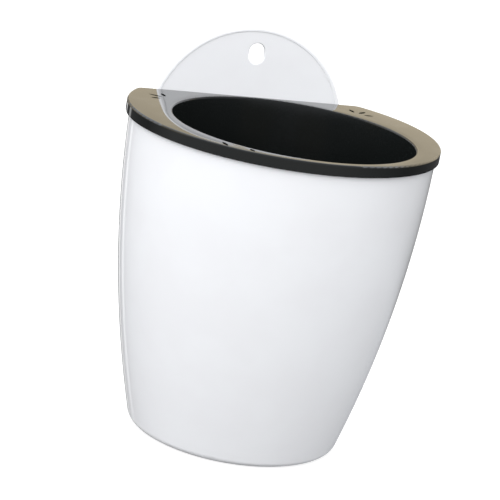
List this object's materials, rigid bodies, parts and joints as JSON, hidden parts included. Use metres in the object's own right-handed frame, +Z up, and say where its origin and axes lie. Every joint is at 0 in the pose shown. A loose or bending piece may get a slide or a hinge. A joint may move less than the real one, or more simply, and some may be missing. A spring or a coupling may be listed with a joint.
{
  "type": "wall planter",
  "caption": "Half-round self-watering wall planter: tapered outer pot with a hanging tab, lift-out inner pot with a flat rim and perforated basket, and a wick.",
  "frame": {"origin": "centre of the whole object's box, on the plane that the base stands on", "axes": "+X to the right seen from the room, +Y towards the wall, +Z up"},
  "size_m": [0.185, 0.154, 0.2348],
  "materials": {
    "pot_white": "smooth moulded gloss",
    "liner_black": "glossy rim, satin basket",
    "wick_felt": "pressed fibre"
  },
  "bodies": {
    "pot": {"outer_pot": "pot_white", "hanging_tab": "pot_white"},
    "liner": {"inner_pot": "liner_black", "wick": "wick_felt"}
  },
  "joints": [
    {"name": "liner_lift", "type": "slide", "parent": "pot", "child": "liner", "axis": [0, 0, 1], "range_m": [0, 0.24]}
  ]
}
